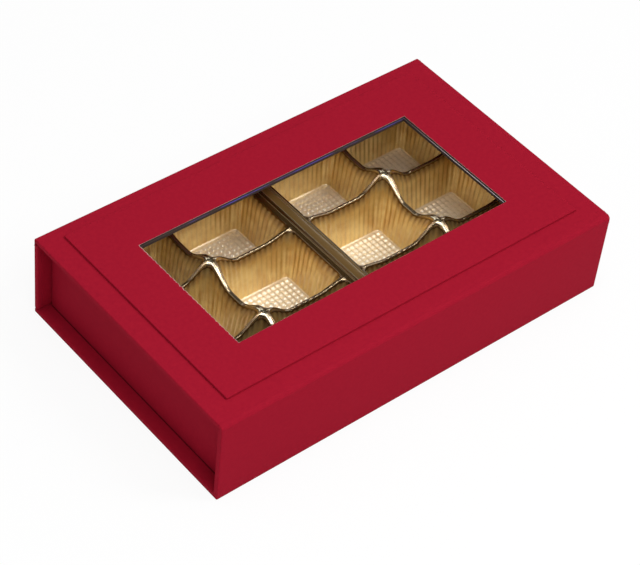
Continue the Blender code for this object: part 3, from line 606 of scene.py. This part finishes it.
footSeam = {
    "height": case["wrapped"] + 0.1 * mm, "radius": 0.22 * mm, "corner": 0.4 * mm,
    "inset": 0.3 * mm,           # how far it lies inside the tray's long sides
    "perSide": 60, "perCorner": 4,
}


def buildFootSeam():
    # A dark half-round bead swept round the tray's foot, painted shade of the gap there, standing out at the
    # two ends only
    low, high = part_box("tray_wrap")
    s = footSeam
    rings = [levelRing((low[0] - out, high[0] + out, low[1] + s["inset"], high[1] - s["inset"]),
                       s["corner"], z, s["perSide"], s["perCorner"])
             for out, z in arc((0, s["height"]), s["radius"], -90, 90, 8)]
    piece = meshPiece("trayFootSeam", [(np.stack(rings), True, 0)], [footShadeLine], flip=True)
    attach(piece, "base")
    return piece


insert = {
    "centre": (-0.5 * mm, -0.6 * mm), "pitchX": 39.615 * mm, "pitchY": 32.59 * mm,
    # heights: skirt's lower edge, cavity floor, ridge between two cells, rim and divider, and where four meet
    "bottom": 4.6 * mm, "floor": 7.0 * mm, "saddle": 26.5 * mm, "knob": 28.8 * mm, "peak": 33.2 * mm,
    "rise": 13.5 * mm, "slope": 7 * mm,                # over what length a ridge rises, and is peak-like
    "ridgeNear": 0.35 * mm, "ridgeFar": 0.9 * mm,      # a long ridge's half towards the spine, and the other
    "ridgeY": 0.9 * mm,                                # half of a short ridge
    "crestCorner": 2.2 * mm, "corner": 5 * mm, "footCorner": 2.5 * mm,      # down the wall
    "crestDrop": 0.5 * mm, "peakDrop": 0.7 * mm, "peakWide": 0.45 * mm,
    "crestRound": 0.98,                                # share of the crest's curve used; 1 ends upright
    "grooveDeep": 0.16 * mm,                           # dips in the long ridges, one for each flute
    "draftX": 2.3 * mm, "draftY": 3.2 * mm, "fillet": 0.6 * mm,
    "tuck": 0.04 * mm,                                 # how far the fillet goes on under the floor
    "flutesX": 14, "flutesY": 11, "perFlute": 6, "fluteDeep": 0.5 * mm, "fluteFade": 0.45,
    # how far a crest's zone falls towards the bend's brown, as painted shade: halves turned away, between
    # peaks, at the rim
    "awayShade": 0.55, "ridgeShade": 0.24, "rimShade": 0.47,
    "shadeReach": 0.24,                                # share of the wall, from its top, that gets painted shade
    "waffle": 2.3 * mm, "waffleHigh": 0.62 * mm, "pillowPower": 0.8, "perPillow": 4,
    "floorRim": 0.15 * mm, "floorFade": 0.4 * mm,      # flat border of the embossing, and how it sets in
    "divider": 7.3 * mm, "dividerFade": 1.5 * mm, "dividerSteps": 60,
}


def cavityLoop(halfX, halfY, corner, ripple):
    # Round-cornered rectangle, drawn in along its normals by ripple (1 - cos) / 2 along each flute
    g = insert
    parts = []
    for side in range(4):
        half, other = ((halfX, halfY), (halfY, halfX))[side % 2]
        count = (g["flutesX"], g["flutesY"])[side % 2] * g["perFlute"]
        quarter = corner * np.pi / 4
        length = 2 * (half - corner) + 2 * quarter
        run = np.arange(count) / count * length
        ahead = np.clip(run - quarter - 2 * (half - corner), 0, None)
        behind = np.clip(quarter - run, 0, None)
        turn = (ahead - behind) / max(corner, 1e-6)
        along = np.clip(run - quarter, 0, 2 * (half - corner)) - (half - corner) + corner * np.sin(turn)
        depth = ripple * 0.5 * (1 - np.cos(2 * np.pi * np.arange(count) / g["perFlute"]))
        x = along - depth * np.sin(turn)
        y = corner * (1 - np.cos(turn)) - other + depth * np.cos(turn)
        a = side * np.pi / 2
        parts.append(np.stack([x * np.cos(a) - y * np.sin(a), x * np.sin(a) + y * np.cos(a)], axis=1))
    return np.concatenate(parts)


def ridgeLine(meets):
    # Heights round a cell, anticlockwise from its side towards the spine: saddle plus the rise to each
    # corner, a half cosine over the rise length, or the knob's height where meets says that no cell is next.
    # And how peak-like each point is: 1 at a peak, falling evenly to 0 at 1.4 slopes from it.
    g = insert
    corners = [g["peak"] if meets[i - 1] and meets[i] else g["knob"] for i in range(4)]
    heights, peaks = [], []
    for side in range(4):
        length = (g["pitchX"], g["pitchY"])[side % 2]
        count = (g["flutesX"], g["flutesY"])[side % 2] * g["perFlute"]
        run = np.arange(count) / count * length
        first = 0.5 + 0.5 * np.cos(np.pi * np.clip(run / g["rise"], 0, 1))
        last = 0.5 + 0.5 * np.cos(np.pi * np.clip((length - run) / g["rise"], 0, 1))
        start, end = corners[side], corners[(side + 1) % 4]
        if meets[side]:
            heights.append(g["saddle"] + (start - g["saddle"]) * first + (end - g["saddle"]) * last)
        else:
            heights.append(np.full(count, g["knob"]))
        peaks.append(np.clip(1.4 - run / g["slope"], 0, 1) * (start > g["knob"])
                     + np.clip(1.4 - (length - run) / g["slope"], 0, 1) * (end > g["knob"]))
    return np.concatenate(heights), np.concatenate(peaks)


def cellWalls(middle, meets):
    # Rings from a ridge's crest down to the floor. Crest: height less crest (1 - sqrt(1 - (t crestRound) **
    # power)), scaled to the whole crest at t = 1, its zone falling towards the bend's painted shade. Wall:
    # even draft, with flutes that fade, and painted shade at the top, darkest in their hollows. Fillet: a
    # quarter circle.
    g = insert
    heights, peaks = ridgeLine(meets)
    counts = np.array([g["flutesX"], g["flutesY"]] * 2) * g["perFlute"]
    # which side of the cell each point lies on: low y, high x, high y, low x
    away = np.repeat([1, 0, 0, 1], counts)         # ridge halves turned away from the spine and left end
    farHalf = np.repeat([1, 0, 0, 0], counts)
    longRidge = np.repeat([1, 0, 1, 0], counts)
    joined = np.repeat(meets, counts)
    flute = 0.5 - 0.5 * np.cos(2 * np.pi * np.arange(len(heights)) / g["perFlute"])
    groove = flute * longRidge * (1 - peaks)
    halfX, halfY = g["pitchX"] / 2, g["pitchY"] / 2
    ridgeMean = (g["ridgeFar"] + g["ridgeNear"]) / 2
    ridgeShift = (g["ridgeFar"] - g["ridgeNear"]) / 2
    rings = []

    def addRing(sizeX, sizeY, corner, ripple, z, zone, wide=0.0, shift=ridgeShift):
        # a ring (x, y, z, zone), narrowed by wide at the peaks, so that the ridges broaden there
        loop = cavityLoop(sizeX, sizeY, corner, ripple)
        loop[:, 0] *= 1 - wide * peaks / halfX
        loop += middle + [0, shift]
        rings.append(np.column_stack([loop, np.broadcast_to(z, len(loop)), np.broadcast_to(zone, len(loop))]))

    crest = g["crestDrop"] + g["peakDrop"] * peaks
    power = np.maximum(2.0 + 4.0 * peaks, 5.0 * farHalf)      # flatter towards a peak and on the far halves
    whole = 1 - np.sqrt(1 - g["crestRound"] ** power)
    for t in (0, 0.25, 0.5, 0.7, 0.87, 1):
        drop = crest * (1 - np.sqrt(1 - (g["crestRound"] * t) ** power)) / whole
        dip = g["grooveDeep"] * groove * np.sin(np.pi * t)
        # painted shade on the crest: its zone falls towards the bend's brown
        shade = np.maximum(g["awayShade"] * away * min(1, 4 * t), g["ridgeShade"] * (1 - peaks))
        addRing(halfX - g["ridgeY"] * t, halfY - ridgeMean * t, g["crestCorner"] * t, 0, heights - drop - dip,
                1 - np.where(joined, shade, g["rimShade"]), g["peakWide"] * t, ridgeShift * t)
    wallX, wallY = halfX - g["ridgeY"], halfY - ridgeMean
    wallTop, foot = heights - crest, g["floor"] + g["fillet"]
    for t in (0.05, 0.1, 0.16, 0.24, 0.3, 0.5, 0.75, 1):
        corner = np.interp(t, (0, 0.3, 1), (g["crestCorner"], g["corner"], g["footCorner"]))
        ripple = g["fluteDeep"] * min(1, 5 * t) * (1 - g["fluteFade"] * t)
        # painted shade at the wall's top, darkest in the flute hollows
        shade = 0.5 * max(0, 1 - t / g["shadeReach"]) ** 1.5 * (0.45 + 0.55 * flute)
        addRing(wallX - g["draftX"] * t, wallY - g["draftY"] * t, corner, ripple,
                wallTop * (1 - t) + foot * t, shade, g["peakWide"] * (1 - t))
    r = g["fillet"]
    for degrees, tuck in ((22.5, 0), (45, 0), (67.5, 0), (90, g["tuck"])):
        a = np.radians(degrees)
        inward = r * (1 - np.cos(a))
        ripple = g["fluteDeep"] * (1 - g["fluteFade"]) * (1 - np.sin(a))
        addRing(wallX - g["draftX"] - inward, wallY - g["draftY"] - inward, g["footCorner"] - inward, ripple,
                foot - r * np.sin(a) - tuck, -a / (np.pi / 2))
    return np.stack(rings)


def cellFloor(middle):
    # Embossed floor: pillows of height (|sin| |sin|) ** pillowPower on a square grid, flat at its border
    g = insert
    ridgeMean = (g["ridgeFar"] + g["ridgeNear"]) / 2
    ridgeShift = (g["ridgeFar"] - g["ridgeNear"]) / 2
    rim = 0.6 * g["fillet"]                        # the sheet reaches a little under the fillet
    floorX = g["pitchX"] / 2 - g["ridgeY"] - g["draftX"] - rim
    floorY = g["pitchY"] / 2 - ridgeMean - g["draftY"] - rim
    reach = 10 * g["perPillow"]                    # ten pillows each way, cut off at the floor's size
    step = np.arange(-reach, reach + 1) * g["waffle"] / g["perPillow"]
    x, y = np.meshgrid(np.unique(np.clip(step, -floorX, floorX)), np.unique(np.clip(step, -floorY, floorY)))
    pillow = np.abs(np.sin(np.pi * x / g["waffle"]) * np.sin(np.pi * y / g["waffle"])) ** g["pillowPower"]
    border = (np.clip((floorX - g["floorRim"] - np.abs(x)) / g["floorFade"], 0, 1)
              * np.clip((floorY - g["floorRim"] - np.abs(y)) / g["floorFade"], 0, 1))
    z = g["floor"] + g["waffleHigh"] * pillow * border
    return np.stack([x + middle[0], y + (middle[1] + ridgeShift), z, -np.ones_like(z)], axis=2)


# the divider's section: x and height in mm, and zone, which gives its flanks the bend's painted shade and its
# flats the rib's painted dark reflection
dividerSection = [
    (-3.65, 28.8, 0.5), (-3.3, 28.8, 0.5), (-2.75, 28.8, 0.5), (-2.6, 28.86, 2), (-2.45, 28.86, 2),
    (-2.3, 28.72, 0.5), (-2.05, 28.85, 0.5), (-1.9, 29.5, 0.5), (-1.75, 29.8, 0.5), (-1.45, 29.9, 2),
    (1.45, 29.9, 2), (1.75, 29.8, 0.5), (1.9, 29.5, 0.5), (2.05, 28.85, 0.5), (2.2, 28.8, 2), (2.5, 28.8, 2),
    (2.65, 28.74, 0.5), (2.8, 28.8, 2), (3.3, 28.8, 2), (3.65, 28.8, 0.5),
]


def dividerGrid():
    # the section carried along the insert, its relief fading to nothing at both ends
    g = insert
    cx, cy = g["centre"]
    section = np.array(dividerSection) * [mm, mm, 1]
    reach = 1.5 * g["pitchY"]
    along = np.linspace(-reach, reach, g["dividerSteps"])
    fade = np.clip((reach - g["dividerFade"] - np.abs(along)) / g["dividerFade"], 0, 1)
    z = g["knob"] + (section[None, :, 1] - g["knob"]) * fade[:, None]
    x, y = np.broadcast_to(section[:, 0] + cx, z.shape), np.broadcast_to(along[:, None] + cy, z.shape)
    return np.stack([x, y, z, np.broadcast_to(section[:, 2], z.shape)], axis=2)


insertRim = {
    "flat": 0.6 * mm, "bendStart": 1.4 * mm, "bend": 0.6 * mm,      # flange, then a quarter turn down
    "skirt": 2.55 * mm,                                             # how far out the skirt ends
    "corner": 0.1 * mm, "perSide": 40, "perCorner": 6,
}


def rimGrid():
    # flange and skirt: rings from the cells' outline out to the edge, round it and down, with zone 1
    g, s = insert, insertRim
    cx, cy = g["centre"]
    blockX, blockY = 2 * g["pitchX"] + g["divider"] / 2, 1.5 * g["pitchY"]
    block = (cx - blockX, cx + blockX, cy - blockY, cy + blockY)
    line = [[(0.0, g["knob"]), (s["flat"], g["knob"])],
            arc((s["bendStart"], g["knob"] - s["bend"]), s["bend"], 90, 0, 5), [(s["skirt"], g["bottom"])]]
    rings = [levelRing(block, s["corner"] + out, z, s["perSide"], s["perCorner"], out)
             for out, z in np.concatenate(line)]
    grid = np.stack(rings)[::-1]
    return np.concatenate([grid, np.ones(grid.shape[:2] + (1,))], axis=2)


def buildInsert():
    # twelve cells in four columns, two on each side of the divider, and three rows
    g = insert
    cx, cy = g["centre"]
    firstColumn = -g["divider"] / 2 - 2 * g["pitchX"]
    lefts = [firstColumn, firstColumn + g["pitchX"], g["divider"] / 2, g["divider"] / 2 + g["pitchX"]]
    grids = []
    for column, left in enumerate(lefts):
        for row in range(3):
            middle = np.array([cx + left + g["pitchX"] / 2, cy + (row - 1) * g["pitchY"]])
            meets = (row > 0, column % 2 == 0, row < 2, column % 2 == 1)
            grids += [(cellWalls(middle, meets), True, 0), (cellFloor(middle), False, 0)]
    grids += [(dividerGrid(), False, 0), (rimGrid(), True, 0)]
    piece = meshPiece("goldInsert", grids, [goldSheet])
    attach(piece, "base")
    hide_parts("candy_insert")
    return piece


buildBaseCover()
buildFlapCover()
buildFolds()
buildLidCover()
buildFilmLine()
buildFootSeam()
print("covers made")
buildInsert()
print("insert made")


studio = {
    "horizon": 0.29, "zenith": 0.6,                       # brightness of the room, from the horizon up
    "floorColour": "#F4F4F4", "floorHalf": 3.0, "floorDrop": 0.05 * mm,
    "floorGlow": 0.9,                                     # share of pure white where the floor is seen
    # dark ceiling card, seen only in mirrors: corners x0, x1, y0, y1 and height
    "card": (-0.8, 1.3, 0.2, 1.4, 1.07), "cardColour": "#4A4846",
    # lamps: place, width and depth in metres, watts
    "keyLight": ((-0.22, -0.43, 0.6), (0.28, 0.28), 1.12),
    "glintLight": ((0.46, -0.5, 0.85), (0.24, 0.55), 3.9),
    "overheadLight": ((-0.06, -0.05, 0.95), (0.3, 0.3), 1.88),
    "aim": (0, 0, 0.03),                                  # the point they are turned to
}


def seenDirectly(tree):
    # 1 for rays that show the background: from the camera, off a mirror or through glass
    path = addNode(tree, "ShaderNodeLightPath")
    either = addNode(tree, "ShaderNodeMath", {0: (path, "Is Camera Ray"), 1: (path, "Is Glossy Ray")},
                     operation="MAXIMUM")
    return addNode(tree, "ShaderNodeMath", {0: (either, 0), 1: (path, "Is Transmission Ray")},
                   operation="MAXIMUM"), 0


def stageSheet(name, corners, material):
    # one flat face that isn't part of the object
    mesh = bpy.data.meshes.new(name)
    mesh.from_pydata(corners, [], [(0, 1, 2, 3)])
    mesh.materials.append(material)
    sheet = bpy.data.objects.new(name, mesh)
    bpy.context.scene.collection.objects.link(sheet)
    return sheet


def buildStudio():
    scene = bpy.context.scene
    scene.view_settings.view_transform = "Standard"
    world = bpy.data.worlds.new("studio")
    world.use_nodes = True
    scene.world = world
    tree = world.node_tree
    tree.nodes.clear()
    place = addNode(tree, "ShaderNodeTexCoord")
    split = addNode(tree, "ShaderNodeSeparateXYZ", {0: (place, "Generated")})
    rise = addNode(tree, "ShaderNodeMapRange", {"Value": (split, "Z"), "From Min": 0.0, "From Max": 1.0,
                                                "To Min": studio["horizon"], "To Max": studio["zenith"]})
    light = addNode(tree, "ShaderNodeBackground", {"Color": (1, 1, 1, 1), "Strength": (rise, 0)})
    white = addNode(tree, "ShaderNodeBackground", {"Color": (1, 1, 1, 1), "Strength": 1.0})
    mix = addNode(tree, "ShaderNodeMixShader", {0: seenDirectly(tree), 1: (light, 0), 2: (white, 0)})
    addNode(tree, "ShaderNodeOutputWorld", {"Surface": (mix, 0)})

    material, tree = newMaterial("studioFloor")
    diffuse = addNode(tree, "ShaderNodeBsdfDiffuse", {"Color": linear(studio["floorColour"])})
    glow = addNode(tree, "ShaderNodeEmission", {"Color": (1, 1, 1, 1), "Strength": 1.0})
    pale = addNode(tree, "ShaderNodeMixShader", {0: studio["floorGlow"], 1: (diffuse, 0), 2: (glow, 0)})
    mix = addNode(tree, "ShaderNodeMixShader", {0: seenDirectly(tree), 1: (diffuse, 0), 2: (pale, 0)})
    addNode(tree, "ShaderNodeOutputMaterial", {"Surface": (mix, 0)})
    s, z = studio["floorHalf"], -studio["floorDrop"]
    stageSheet("floor", [(-s, -s, z), (s, -s, z), (s, s, z), (-s, s, z)], material)

    x0, x1, y0, y1, z = studio["card"]
    cloth = plainMaterial("cardCloth", (studio["cardColour"], studio["cardColour"]), 20.0, 0.9, specular=0.0)
    card = stageSheet("ceilingCard", [(x0, y0, z), (x0, y1, z), (x1, y1, z), (x1, y0, z)], cloth)
    card.visible_camera = card.visible_diffuse = card.visible_shadow = False

    for name in ("keyLight", "glintLight", "overheadLight"):
        place, (wide, deep), power = studio[name]
        lampData = bpy.data.lights.new(name, "AREA")
        lampData.energy = power
        lampData.shape = "RECTANGLE"
        lampData.size, lampData.size_y = wide, deep
        lamp = bpy.data.objects.new(name, lampData)
        scene.collection.objects.link(lamp)
        lamp.location = place
        towards = np.array(studio["aim"]) - np.array(place)
        tilt = np.arccos(-towards[2] / np.linalg.norm(towards))
        lamp.rotation_euler = (tilt, 0, np.arctan2(towards[1], towards[0]) - np.pi / 2)


buildStudio()
print("studio made")
